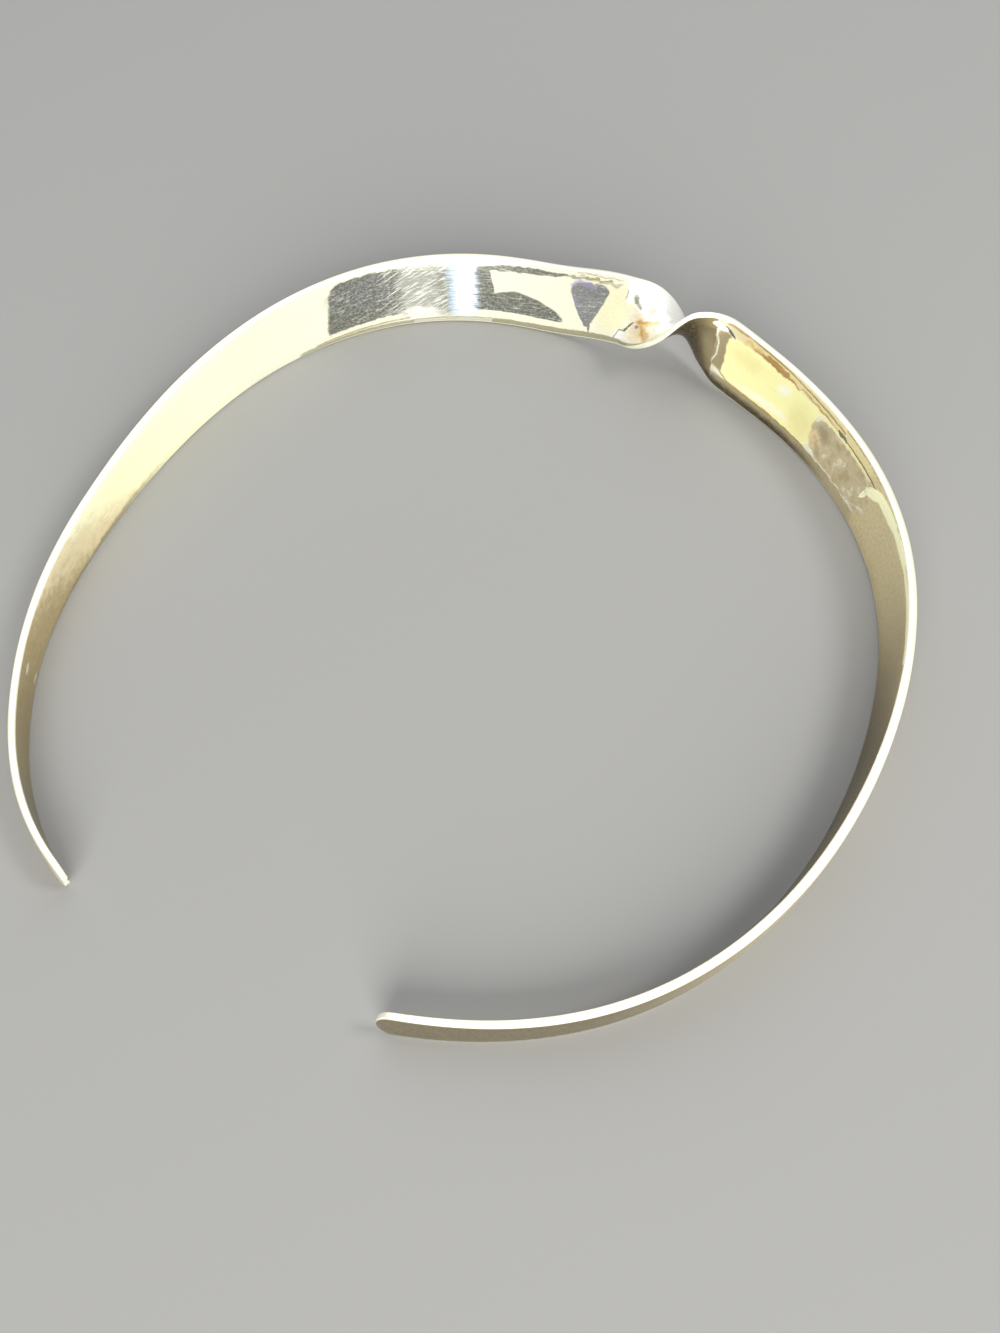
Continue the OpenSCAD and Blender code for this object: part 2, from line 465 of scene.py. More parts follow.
# Tones of the silver: colour, metallic, roughness. Some of them stand for painted reflections, highlights and
# shade, where the marks below say so.
TONES = {
    "cream": ((1.00, 0.99, 0.81), 0.50, 0.22),
    "candle": ((1.00, 0.99, 0.64), 0.12, 0.26),
    "straw": ((1.00, 0.97, 0.62), 0.50, 0.22),
    # painted highlight: white glints and bright bands on the polished faces
    "white": ((1.00, 1.00, 0.98), 0.40, 0.22),
    "sky": ((0.58, 0.73, 0.90), 0.50, 0.22),
    "ivory": ((1.00, 1.00, 0.92), 0.50, 0.25),
    # painted dark reflection: the dark patches on the polished faces, which real scratches cross later
    "film": ((0.21, 0.22, 0.19), 0.90, 0.26),
    "steel": ((0.42, 0.43, 0.37), 0.85, 0.26),
    "brushed": ((0.60, 0.61, 0.55), 0.80, 0.26),
    "slate": ((0.27, 0.28, 0.30), 0.90, 0.24),
    "blue": ((0.34, 0.35, 0.38), 0.85, 0.24),
    "violet": ((0.48, 0.42, 0.85), 0.60, 0.24),
    "border": ((0.48, 0.47, 0.31), 0.75, 0.25),
    "taupe": ((0.58, 0.49, 0.29), 0.85, 0.26),
    "umber": ((0.34, 0.27, 0.15), 0.85, 0.28),
    # painted shade: the darkest shade and dark reflections of the floor
    "dusk": ((0.07, 0.055, 0.03), 0.80, 0.34),
    "honey": ((0.88, 0.73, 0.33), 0.50, 0.24),
    # painted reflection: the bright yellow area of the polished face
    "yellow": ((1.00, 0.98, 0.50), 0.35, 0.20),
    "pale": ((1.00, 1.00, 0.80), 0.35, 0.22),
    "mottled": ((0.72, 0.62, 0.40), 0.60, 0.30),
    "peach": ((1.00, 0.80, 0.48), 0.50, 0.26),
    "sand": ((1.00, 0.86, 0.54), 0.50, 0.28),
    # satin: real satin roughness, with a darker colour that is painted shade
    "satin": ((0.86, 0.74, 0.45), 0.60, 0.38),
    "stone": ((0.68, 0.60, 0.42), 0.60, 0.38),
    "deep": ((0.56, 0.46, 0.27), 0.80, 0.38),
    "tan": ((0.76, 0.62, 0.34), 0.85, 0.36),
    "olive": ((0.50, 0.42, 0.23), 0.90, 0.36),
    "pewter": ((0.27, 0.235, 0.16), 0.80, 0.40),
    "ash": ((0.34, 0.33, 0.27), 0.85, 0.38),
    "brown": ((0.22, 0.11, 0.03), 0.50, 0.42),
    "rust": ((0.46, 0.24, 0.07), 0.50, 0.40),
    "amber": ((0.86, 0.56, 0.20), 0.50, 0.32),
    # rims: partly rubbed silver, partly a painted highlight
    "rim": ((1.00, 0.97, 0.78), 0.40, 0.30),
}
# The tones that are tarnish, whose cover the user can change
TARNISH = ("brown", "rust", "amber")

# Marks lie over each other in the order of these tables. Places and sizes are in millimetres along and across
# the band, from the middle of the twist, and a turn is in degrees. Face -1 is inside on the arm that runs to
# +X, and outside on the other arm. A brushed patch ends in streaks. A line's width is half its real one.
Patch = namedtuple("Patch", "face middle reach turn taper square ragged soft tone cover brushed",
                   defaults=(0,))
Line = namedtuple("Line", "face start end width taper ragged soft tone cover")

PATCHES = [Patch(*row) for row in (
    (1, (95, 0), (90, 20), 0, 0, 8, 3.0, 0.06, "tan", 0.55),
    (-1, (-62, 0), (60, 20), 0, 0, 8, 3.0, 0.10, "tan", 0.55),
    # Outer face of the near arm: its darker tones are painted shade and painted reflection of the floor
    (-1, (-155, 0), (46, 20), 0, 0, 8, 3.0, 0.10, "stone", 0.95),
    (-1, (-176, 0), (38, 20), 0, 0, 8, 3.0, 0.50, "pewter", 1.00),
    (-1, (-152, 3.6), (40, 1.8), 0, 0, 6, 0.5, 0.50, "pewter", 0.40),
    (-1, (105, 0.5), (20, 20), 0, 0, 4, 3.0, 0.50, "candle", 0.90),
    (-1, (156, 0), (40, 20), 0, -1.0, 8, 3.0, 0.16, "sand", 0.90),
    (-1, (168, 0), (38, 20), 0, -1.0, 8, 5.0, 0.22, "tan", 0.95),
    (-1, (184, 0), (36, 20), 0, -0.4, 8, 5.0, 0.25, "olive", 0.85),
    (-1, (183, 0), (17, 20), 0, 0, 8, 1.0, 0.30, "ash", 0.80),
    # Painted shadow along the lower edge
    (-1, (128, -5.2), (22, 1.3), 0, 0, 6, 0.5, 0.50, "pewter", 0.60),
    # The big dark patch is a painted dark reflection; the scratches laid over it later are real wear
    (-1, (49.6, 0.3), (10.9, 5.0), 0, -0.12, 9, 0.5, 0.03, "film", 0.96),
    (-1, (54.0, -4.6), (8.0, 0.7), 2, 0, 6, 0.5, 0.20, "cream", 0.95),
    # Bluish top of the dark patch: painted reflection
    (-1, (53.5, 2.2), (6.0, 2.6), 0, 0, 2, 1.0, 0.50, "slate", 0.60),
    (-1, (42.3, 0.4), (4.9, 5.2), 0, 0, 5, 1.0, 0.20, "brushed", 0.95, 1),
    # Brighter lower end of the scratched zone: painted highlight
    (-1, (43.2, -4.2), (3.8, 1.5), -6, 0, 3, 1.0, 0.40, "ivory", 0.90, 1),
    (-1, (39.5, 0.4), (1.4, 4.6), 0, 0, 4, 0.5, 0.50, "film", 0.40, 1),
    # Dark strip beside the highlight band: painted dark reflection
    (-1, (32.0, 0.0), (1.9, 4.7), 0, -0.30, 5, 0.5, 0.06, "film", 0.92),
    # Leaf-shaped dark patch: painted dark reflection
    (-1, (26.4, -3.5), (9.2, 3.95), 0, 0, 1.5, 0.2, 0.04, "film", 0.95),
    (-1, (24.5, -5.4), (9.8, 1.65), -1, 0, 8, 0.2, 0.06, "cream", 1.0),
    # Painted highlight band across the face: a bluish edge under a white core
    (-1, (35.7, 0.4), (2.7, 5.6), 0, 0, 6, 0.5, 0.20, "sky", 0.90, 1),
    (-1, (35.4, 0.4), (1.8, 5.6), 0, 0, 4, 0.5, 0.40, "white", 1.0, 1),
    (-1, (7.0, 0.0), (3.6, 4.2), 0, 0, 4, 0.5, 0.20, "straw", 0.60),
    # Blue heart-shaped patch: painted dark reflection
    (-1, (12.6, 0.2), (2.6, 4.2), 0, 0.70, 3, 0.2, 0.05, "blue", 0.95),
    (-1, (10.4, 2.7), (1.5, 1.0), 18, 0, 2, 0.2, 0.08, "blue", 0.95),
    (-1, (12.0, 4.9), (0.5, 0.8), 0, 0, 2, 0.2, 0.20, "straw", 0.90),
    # Bright face toward the twist and the bright notch below it: painted highlights
    (-1, (-1.2, 1.6), (4.8, 5.6), 0, 0, 3, 1.0, 0.35, "white", 0.90),
    (-1, (4.2, -4.2), (2.4, 0.9), -4, 0, 5, 0.5, 0.10, "white", 1.0),
    # Glint beside the ding: painted highlight
    (-1, (5.1, 2.9), (0.55, 1.2), 12, 0, 2, 0.2, 0.30, "white", 1.0),
    (-1, (0.4, 1.2), (0.9, 1.0), 0, 0, 2, 1.0, 0.60, "mottled", 0.45),
    (-1, (1.2, -1.6), (2.4, 1.6), 0, 0, 2, 1.0, 0.60, "peach", 0.55),
    (-1, (1.4, -3.4), (2.2, 1.3), 20, 0, 2, 1.0, 0.60, "peach", 0.70),
    (-1, (2.3, -2.1), (0.45, 0.35), 0, 0, 2, 0.5, 0.40, "brown", 0.75),
    (-1, (147.3, 1.6), (1.0, 0.4), 0, 0, 2, 0.2, 0.50, "pale", 0.80),
    (-1, (146.5, -2.4), (1.0, 0.35), 0, 0, 2, 0.2, 0.50, "pale", 0.60),
    # Underside of the twist: painted shade and a painted dark reflection of the floor
    (1, (-4.4, 0), (7.0, 9), 0, 0, 5, 0.5, 0.03, "umber", 0.97),
    (1, (-4.6, 0.6), (4.4, 9), 0, 0, 3, 0.5, 0.50, "dusk", 1.0),
    (1, (-10.4, 0.6), (1.3, 3.6), -14, 0, 2, 0.5, 0.60, "mottled", 0.30),
    (1, (-12.6, -0.9), (1.3, 3.6), 4, 0, 5, 0.5, 0.12, "taupe", 0.95),
    (1, (-34.0, -5.7), (22.0, 1.5), 0, 0, 6, 0.5, 0.25, "honey", 0.75),
    # Lower border strip: painted reflection of the rounded lower edge
    (1, (-33.0, 5.1), (22.0, 1.5), 0, 0, 6, 0.2, 0.10, "taupe", 0.90),
    (1, (-46.0, 4.9), (6.0, 1.3), 0, 0, 3, 0.5, 0.60, "mottled", 0.60),
    # Painted contact shadow along the lower edge
    (1, (-20.0, 6.6), (16.0, 1.8), 0, 0, 4, 0.5, 0.40, "dusk", 0.92),
    # Golden-yellow area beside the twist: painted reflection, with pale painted highlights in it
    (1, (-24.1, -0.4), (10.6, 4.1), 0, 0, 9, 0.5, 0.02, "yellow", 1.0),
    (1, (-17.5, -2.2), (3.6, 1.6), 0, 0, 2, 1.0, 0.60, "honey", 0.35),
    (1, (-31.6, 0.4), (2.6, 3.0), 0, 0, 2, 1.0, 0.60, "honey", 0.35),
    (1, (-23.5, 2.4), (5.0, 0.7), -4, 0, 2, 0.5, 0.60, "pale", 0.90),
    (1, (-26.4, -2.3), (1.6, 1.0), -30, 0, 2, 0.5, 0.60, "pale", 0.90),
    # Inner face of this arm: its darker taupe is painted shade over the real satin roughness, darkest further
    # along
    (1, (-82.0, 1.6), (32.5, 20), 0, 0, 8, 0.5, 0.03, "satin", 0.97),
    (1, (-117.0, 0), (42.0, 20), 0, 0, 8, 3.0, 0.30, "deep", 0.95),
    (1, (-116.0, 1.0), (30.0, 20), 0, 0.6, 4, 1.0, 0.40, "dusk", 0.72),
    (1, (-42.8, -0.2), (8.6, 3.8), 0, 0, 3.5, 1.0, 0.04, "mottled", 0.97),
    (1, (-37.2, -1.8), (1.6, 1.3), 30, 0, 2, 1.0, 0.50, "umber", 0.45),
    (1, (-35.6, 0.6), (1.3, 1.6), 0, 0, 2, 1.0, 0.60, "peach", 0.80),
)]

LINES = [Line(*row) for row in (
    # Lower border strips: painted reflection of the rounded lower edge, darker along its foot
    (-1, (67.0, -6.0), (46.0, -6.0), 0.80, 0.1, 0.2, 0.20, "border", 0.80),
    (-1, (46.0, -6.0), (28.0, -6.0), 0.70, 0.1, 0.2, 0.20, "border", 0.45),
    (-1, (30.0, -6.0), (0.0, -5.7), 0.75, 0.1, 0.2, 0.15, "border", 0.92),
    (-1, (64.0, -5.1), (46.0, -4.8), 0.14, 0.1, 0.2, 0.08, "taupe", 0.75),
    (-1, (64.0, -5.6), (12.0, -5.1), 0.10, 0.1, 0.2, 0.08, "taupe", 0.55),
    (-1, (33.0, 4.5), (17.0, 5.2), 0.60, 0.7, 0.5, 0.12, "film", 0.90),
    (-1, (18.0, 5.3), (9.0, 4.9), 0.22, 0.5, 1.0, 0.15, "border", 0.80),
    (-1, (13.6, 5.0), (7.0, 4.6), 0.36, 0.6, 1.0, 0.25, "taupe", 0.55),
    (-1, (15.0, 6.0), (7.0, 5.5), 0.10, 0.5, 0.5, 0.08, "taupe", 0.55),
    (-1, (12.1, -3.4), (12.0, -4.9), 0.22, 0.5, 0.2, 0.08, "film", 0.80),
    # Violet edges of the heart: painted highlights
    (-1, (16.1, 3.6), (14.6, 4.6), 0.34, 0.4, 0.5, 0.34, "violet", 0.70),
    (-1, (14.6, 4.5), (11.6, 3.6), 0.30, 0.4, 0.5, 0.34, "violet", 0.70),
    (-1, (16.0, 2.6), (14.4, -0.6), 0.30, 0.4, 0.5, 0.25, "violet", 0.35),
    # Dark curved marks round the ding: painted dark reflection of the dent
    (-1, (4.5, 4.4), (3.8, 2.1), 0.62, 0.5, 0.2, 0.25, "film", 0.80),
    (-1, (4.0, 2.6), (2.7, 1.0), 0.34, 0.7, 0.2, 0.20, "steel", 0.85),
    (-1, (5.6, 4.2), (5.8, 2.4), 0.16, 0.5, 0.2, 0.15, "steel", 0.70),
    (-1, (6.7, -5.2), (5.7, -3.3), 0.12, 0.2, 0.2, 0.08, "film", 0.60),
    (-1, (5.7, -3.3), (4.5, -3.2), 0.12, 0.2, 0.2, 0.08, "film", 0.80),
    (-1, (4.6, -3.2), (3.3, -1.5), 0.26, 0.5, 0.2, 0.10, "film", 0.90),
    (-1, (3.2, -1.2), (-1.4, -1.2), 0.50, 0.6, 1.0, 0.25, "amber", 0.80),
    (-1, (2.6, -1.4), (0.2, -1.0), 0.22, 0.6, 1.0, 0.20, "rust", 0.65),
    (-1, (1.6, -1.6), (-0.4, -4.8), 0.66, 0.6, 1.0, 0.30, "amber", 0.85),
    (-1, (1.2, -2.4), (0.2, -4.2), 0.20, 0.6, 1.0, 0.20, "rust", 0.55),
    (-1, (3.9, 1.0), (2.4, -0.8), 0.50, 0.5, 1.0, 0.40, "amber", 0.40),
    # Painted dark reflection under the curled lower edge
    (-1, (5.0, -6.0), (0.0, -5.8), 0.40, 0.5, 0.2, 0.25, "umber", 0.60),
    (1, (-11.3, -4.2), (-11.9, -1.8), 0.16, 0.2, 0.2, 0.12, "pale", 0.65),
    (1, (-11.9, -1.8), (-11.9, 0.4), 0.16, 0.2, 0.2, 0.12, "pale", 0.65),
    (1, (-11.9, 0.4), (-11.3, 2.2), 0.16, 0.2, 0.2, 0.12, "pale", 0.65),
    (1, (-11.4, 2.1), (-15.3, 3.7), 0.16, 0.1, 0.2, 0.10, "rust", 0.70),
    (1, (-15.3, 3.7), (-34.0, 3.8), 0.13, 0.1, 0.2, 0.08, "rust", 0.70),
    (1, (-34.0, 3.7), (-47.0, 3.6), 0.14, 0.2, 0.5, 0.08, "pale", 0.60),
    (1, (-47.0, 3.6), (-51.5, 1.0), 0.12, 0.2, 0.2, 0.08, "pale", 0.55),
    (1, (-12.8, -6.0), (-16.6, -6.2), 0.32, 0.4, 0.5, 0.20, "rust", 0.75),
    (1, (-16.4, -6.2), (-28.6, -5.8), 0.14, 0.2, 0.2, 0.10, "brown", 0.75),
    (1, (-16.4, -5.2), (-24.0, -5.1), 0.42, 0.5, 1.0, 0.20, "amber", 0.80),
    (1, (-18.5, -4.9), (-24.5, -4.6), 0.16, 0.5, 0.5, 0.12, "brown", 0.65),
    (1, (-20.0, -5.2), (-29.0, -4.6), 0.44, 0.7, 1.0, 0.20, "rust", 0.85),
    (1, (-28.4, -5.7), (-41.0, -5.3), 0.16, 0.2, 0.2, 0.10, "brown", 0.70),
    (1, (-29.5, -4.9), (-40.0, -4.5), 0.14, 0.5, 0.5, 0.10, "rust", 0.75),
    # Yellow strip below the top rim: painted reflection
    (1, (-33.6, -4.2), (-50.0, -4.1), 0.36, 0.4, 0.2, 0.15, "yellow", 0.85),
    (1, (-39.4, -4.6), (-42.2, -4.5), 0.32, 0.6, 0.5, 0.10, "film", 0.85),
    (1, (-42.0, -4.5), (-53.0, -4.4), 0.16, 0.4, 0.2, 0.08, "brown", 0.85),
    (1, (-49.4, 0.2), (-50.9, -2.9), 0.50, 0.9, 0.2, 0.10, "candle", 1.0),
    (1, (-50.6, -2.5), (-54.0, -4.6), 0.95, 0.3, 0.2, 0.10, "candle", 1.0),
    (1, (-53.6, -4.4), (-60.0, -5.0), 0.95, 0.2, 0.2, 0.10, "candle", 1.0),
    (1, (-59.0, -5.0), (-67.0, -5.3), 0.62, 0.2, 0.2, 0.10, "candle", 1.0),
    (1, (-66.0, -5.3), (-84.0, -5.4), 0.40, 0.4, 0.2, 0.12, "candle", 0.95),
    (1, (-41.0, -6.0), (-70.0, -5.9), 0.11, 0.2, 0.2, 0.06, "olive", 0.85),
    # Ding by the twist: painted highlight glint, with painted dark reflections below it
    (1, (-10.8, -5.3), (-12.6, -4.8), 0.62, 0.3, 0.5, 0.15, "white", 1.0),
    (1, (-12.5, -5.3), (-14.6, -4.2), 0.24, 0.6, 0.5, 0.08, "film", 0.90),
)]

# Ends of the stretches of the band that have a material each, by place in millimetres. A material draws only
# the marks that reach its stretch, which keeps it quick
STRETCH_ENDS = (-200, -66, -7, 24, 66, 200)
# How far past its drawn size a patch, a line or a zone is taken to reach, in millimetres
PATCH_SLACK = 1.5
LINE_SLACK = 1.0
ZONE_SLACK = 2.0
# Where the mottled place and the painted dark reflections begin and end
MOTTLED = (-55, -33)
DARK_REFLECTED = (8, 62)
# Values between which a finish comes in: millimetres from the band's middle plane and from its rims, then
# roughness, metallic and noise
FACE_SPAN = (0.3, 0.5)
RIM_SPAN = (0.42, 0.18)
SATIN_SPAN = (0.27, 0.35)
DARK_REFLECTION_SPAN = (0.70, 0.80)
GRAIN_SPAN = (0.42, 0.66)
SPECK_SPAN = (0.40, 0.68)
DARK_CLOUD_SPAN = (0.48, 0.62)
PALE_CLOUD_SPAN = (0.44, 0.36)
# How ragged the border of a zone is
ZONE_RAGGED = 1.0
# How far a brushed patch is pulled out in streaks, and the streaks' scale along, across and through the band
PULL = 4.0
STREAK_SCALE = (0.18, 3.2, 0.2)
# Scratch strokes over the painted dark reflections, slanted and crossing: angle in degrees, length, spacing,
# cover
STROKES = ((26, 3.4, 0.26, 0.60), (6, 1.6, 0.22, 0.50))
# Strength of the crossing strokes, of the lengthwise lines as grooves and as roughness, and a groove's depth
CROSSED = 0.6
GROOVED = 0.6
ROUGHENED = 0.05
GROOVE_DEPTH = 0.01


def reaches(stretch, low, high, slack=ZONE_SLACK):
    return high + slack > stretch[0] and low - slack < stretch[1]


def patch_reaches(stretch, row):
    half = row.reach[0] * (1 + abs(row.taper)) * (1 + row.soft)
    half += row.reach[1] * abs(math.sin(math.radians(row.turn)))
    slack = PATCH_SLACK + row.ragged + PULL / 2 * row.brushed
    return reaches(stretch, row.middle[0] - half, row.middle[0] + half, slack)


def line_reaches(stretch, row):
    low, high = sorted((row.start[0], row.end[0]))
    return reaches(stretch, low, high, LINE_SLACK + row.width + row.ragged + row.soft)


class Silver:
    """The nodes of one silver material. It starts as one tone, and marks, wear and painted reflections,
    highlights and shade are laid over it.
    """

    def __init__(self, finish, groups, stretch):
        self.finish = finish
        self.patch, self.line, self.scratch = groups
        self.patches = [row for row in PATCHES if patch_reaches(stretch, row)]
        self.lines = [row for row in LINES if line_reaches(stretch, row)]
        self.material = bpy.data.materials.new("worn_silver")
        self.material.use_nodes = True
        self.tree = self.material.node_tree
        strip = put(self.tree, "ShaderNodeAttribute", attribute_name="strip_place").outputs["Vector"]
        self.place = scaled(self.tree, strip, 1 / MM)
        rim_gap = put(self.tree, "ShaderNodeAttribute", attribute_name="rim_gap").outputs["Fac"]
        self.rim_gap = math_node(self.tree, "MULTIPLY", rim_gap, 1 / MM)
        self.find_places()
        shade, metallic, roughness = TONES["cream"]
        self.colour, self.surface = (*shade, 1), (metallic, roughness, 0)

    def find_places(self):
        """Works out once which face a point is on, and its place as marks of each raggedness see it."""
        tree = self.tree
        shake = noise(tree, self.place, scale=0.8, detail=4.0)["Color"]
        shake = scaled(tree, vector_node(tree, "SUBTRACT", shake, (0.5, 0.5, 0.5)), 2.0)
        stretched = vector_node(tree, "MULTIPLY", self.place, STREAK_SCALE)
        streaks = noise(tree, stretched, scale=1.0, detail=2.0)["Fac"]
        along, across, through = split(tree, self.place)
        shake_along, shake_across, _ = split(tree, shake)
        pulled = math_node(tree, "ADD", along, math_node(tree, "MULTIPLY_ADD", streaks, PULL, -PULL / 2))
        self.on_face = {face: ramp(tree, math_node(tree, "MULTIPLY", through, face), *FACE_SPAN)
                        for face in (-1, 1)}
        kinds = {(row.ragged, row.brushed) for row in self.patches} | {(row.ragged, 0) for row in self.lines}
        self.ragged_place = {}
        for ragged, brushed in sorted(kinds | {(ZONE_RAGGED, 0)}):
            start = pulled if brushed else along
            self.ragged_place[ragged, brushed] = (
                math_node(tree, "MULTIPLY_ADD", shake_along, ragged, start),
                math_node(tree, "MULTIPLY_ADD", shake_across, ragged, across))

    def lay(self, mask, cover, tone):
        """Lays a tone over what is there, where the mask is, by a cover from 0 to 1."""
        shade, metallic, roughness = TONES[tone]
        cover *= self.finish.tarnish if tone in TARNISH else 1
        share = math_node(self.tree, "MULTIPLY", mask, cover)
        self.colour = blend(self.tree, share, self.colour, (*shade, 1))
        self.surface = blend(self.tree, share, self.surface, (metallic, roughness, 0), "VECTOR")

    def times(self, first, second):
        return math_node(self.tree, "MULTIPLY", first, second)

    def mark(self, group, face, ragged, soft, pairs, brushed=0, **values):
        """The mask of one mark. Pairs are places or sizes along and across the band, values are the rest."""
        sockets = dict(zip(WAYS, self.ragged_place[ragged, brushed]))
        sockets.update({"On Face": self.on_face[face], "Soft": soft, **values})
        for name, pair in pairs.items():
            sockets.update({f"{name} {way}": value for way, value in zip(WAYS, pair)})
        return use_group(self.tree, group, sockets)

    def zone(self, face, middle, reach, square, soft):
        """The mask of a place that wear is kept to."""
        pairs = {"Middle": middle, "Reach": reach}
        return self.mark(self.patch, face, ZONE_RAGGED, soft, pairs, Square=square)

    def draw_marks(self):
        for row in self.patches:
            mask = self.mark(self.patch, row.face, row.ragged, row.soft,
                             {"Middle": row.middle, "Reach": row.reach}, row.brushed,
                             Turn=math.radians(row.turn), Taper=row.taper, Square=row.square)
            self.lay(mask, row.cover, row.tone)
        for row in self.lines:
            mask = self.mark(self.line, row.face, row.ragged, row.soft, {"From": row.start, "To": row.end},
                             Width=row.width, Taper=row.taper)
            self.lay(mask, row.cover, row.tone)

    def brush(self):
        """Satin grain where the surface is rough, and fine lengthwise lines all over."""
        rough = split(self.tree, self.surface)["Y"]
        grain = noise(self.tree, self.place, scale=2.2, detail=3.0)["Fac"]
        satin = ramp(self.tree, rough, *SATIN_SPAN)
        self.lay(self.times(ramp(self.tree, grain, *GRAIN_SPAN), satin), self.finish.grain, "olive")
        sockets = {"Place": self.place, "Length": 7.0, "Spacing": 0.12, "Cover": 0.6}
        self.brushed = use_group(self.tree, self.scratch, sockets)
        self.lay(self.brushed, 0.05, "deep")
        self.grooves = self.times(self.brushed, GROOVED)

    def cloud(self):
        """Dark and pale clouds on the mottled place."""
        clouds = noise(self.tree, self.place, scale=0.5, detail=5.0, roughness=0.65)["Fac"]
        mottled = self.zone(1, (-43.5, 0), (8.5, 3.8), square=3.5, soft=0.2)
        self.lay(self.times(ramp(self.tree, clouds, *DARK_CLOUD_SPAN), mottled), 0.60, "deep")
        self.lay(self.times(ramp(self.tree, clouds, *PALE_CLOUD_SPAN), mottled), 0.45, "pale")

    def scratch_dark_reflections(self):
        """Speckles the painted dark reflections, and draws bright scratch strokes across them."""
        dark = ramp(self.tree, split(self.tree, self.surface)["X"], *DARK_REFLECTION_SPAN)
        # Mask of the painted dark reflections near the twist
        dark_reflection_mask = self.times(dark, self.zone(-1, (35, 0), (27, 5.6), square=6, soft=0.15))
        specks = noise(self.tree, self.place, scale=2.4, detail=3.0)["Fac"]
        self.lay(self.times(dark_reflection_mask, ramp(self.tree, specks, *SPECK_SPAN)), 0.65, "brushed")
        slanted, crossed = (
            use_group(self.tree, self.scratch, {"Place": self.place, "Angle": math.radians(angle),
                                                "Length": length, "Spacing": spacing, "Cover": cover})
            for angle, length, spacing, cover in STROKES)
        slanted = self.times(slanted, self.zone(-1, (43, 0), (7, 7), square=4, soft=0.4))
        strokes = math_node(self.tree, "MAXIMUM", slanted, self.times(crossed, CROSSED))
        self.lay(self.times(dark_reflection_mask, strokes), self.finish.scratches, "ivory")
        self.grooves = math_node(self.tree, "MULTIPLY_ADD", strokes, dark_reflection_mask, self.grooves)

    def rub_and_highlight_rims(self):
        # Paints the rims bright: partly rubbed silver, partly a painted highlight
        self.lay(ramp(self.tree, self.rim_gap, *RIM_SPAN), self.finish.rubbed_and_highlit_rims, "rim")

    def join_shader(self):
        shader = self.tree.nodes["Principled BSDF"]
        metallic, roughness, _ = split(self.tree, self.surface)
        fill(self.tree, shader.inputs["Base Color"], self.colour)
        fill(self.tree, shader.inputs["Metallic"], metallic)
        roughness = math_node(self.tree, "MULTIPLY_ADD", self.brushed, ROUGHENED, roughness)
        fill(self.tree, shader.inputs["Roughness"], roughness)
        sockets = {"Height": self.grooves, "Distance": GROOVE_DEPTH * MM, "Strength": 0.5}
        fill(self.tree, shader.inputs["Normal"], put(self.tree, "ShaderNodeBump", sockets).outputs["Normal"])


def worn_silver(finish, groups, stretch):
    """Worn silver: polished near the twist, satin on the arms, scratched, tarnished along its edges, and with
    painted reflections, highlights and shade in its colour.
    """
    silver = Silver(finish, groups, stretch)
    silver.draw_marks()
    silver.brush()
    if reaches(stretch, *MOTTLED):
        silver.cloud()
    if reaches(stretch, *DARK_REFLECTED):
        silver.scratch_dark_reflections()
    silver.rub_and_highlight_rims()
    silver.join_shader()
    return silver.material


def floor_material(stage):
    material = bpy.data.materials.new("pale_floor")
    material.use_nodes = True
    shader = material.node_tree.nodes["Principled BSDF"]
    shader.inputs["Base Color"].default_value = stage.floor_colour
    shader.inputs["Roughness"].default_value = 0.9
    shader.inputs["Specular IOR Level"].default_value = 0.2
    return material


def size_property(name, description, default):
    return bpy.props.FloatProperty(name=name, description=description, default=default)


def count_property(name, description, default):
    return bpy.props.IntProperty(name=name, description=description, default=default)


class CHOKER_PG_band(bpy.types.PropertyGroup):
    """Sizes of the band, in millimetres."""
    ring_radius: size_property("Ring radius", "Mean radius of the ring", 66)
    ring_long: size_property("Ring long", "Extra radius at the twist and the gap", 0.8)
    ring_flat: size_property("Ring flat", "Flattening of the four quarters", 1.3)
    bend_two: size_property("Bend two", "Uneven bend, two waves", 0.2)
    bend_three: size_property("Bend three", "Uneven bend, three waves", 1.5)
    bend_four: size_property("Bend four", "Uneven bend, four waves", -0.5)
    bend_five: size_property("Bend five", "Uneven bend, five waves", 0.2)
    end_spread: size_property("End spread", "Extra radius at the +X end", 1.2)
    spread_start: size_property("Spread start", "Place from which that end spreads", 148)
    arm_length: size_property("Arm length", "Length of an arm, from the twist to its end", 182.6)
    thickness: size_property("Thickness", "Thickness in the middle of the faces", 1.8)
    rim_thickness: size_property("Rim thickness", "Thickness at the edges", 1.4)
    edge_radius: size_property("Edge radius", "Radius of the soft edges", 0.4)
    tip_round: size_property("Tip rounding", "Length of a rounded end", 2.4)
    twist_half: size_property("Twist half", "Half the length of the twist", 24)
    twist_lift: size_property("Twist lift", "How far the twist's middle rises", 3.2)
    twist_inset: size_property("Twist inset", "How far the twist sits inside the ring", 1.4)
    inset_reach: size_property("Inset reach", "Reach of the inset along the band", 8)
    twist_swing: size_property("Twist swing", "Sideways swing into and out of the twist", 2.2)
    swing_reach: size_property("Swing reach", "Reach of the swing along the band", 22)
    uneven: size_property("Unevenness", "Depth of the hammer marks", 0.08)
    flat_share: size_property("Flat share", "Share of a face that keeps its full thickness", 0.6)
    edge_steps: count_property("Edge steps", "Facets in a soft edge", 3)
    face_cuts: count_property("Face cuts", "Cuts across a face", 17)
    arm_steps: count_property("Arm steps", "Sections along an arm", 120)
    twist_steps: count_property("Twist steps", "Sections in half the twist", 54)
    tip_steps: count_property("Tip steps", "Sections in a rounded end", 9)


def colour_property(name, description, default):
    return bpy.props.FloatVectorProperty(name=name, description=description, subtype="COLOR", size=4,
                                         min=0, max=1, default=default)


def share_property(name, description, default):
    return bpy.props.FloatProperty(name=name, description=description, subtype="FACTOR", min=0, max=1,
                                   default=default)


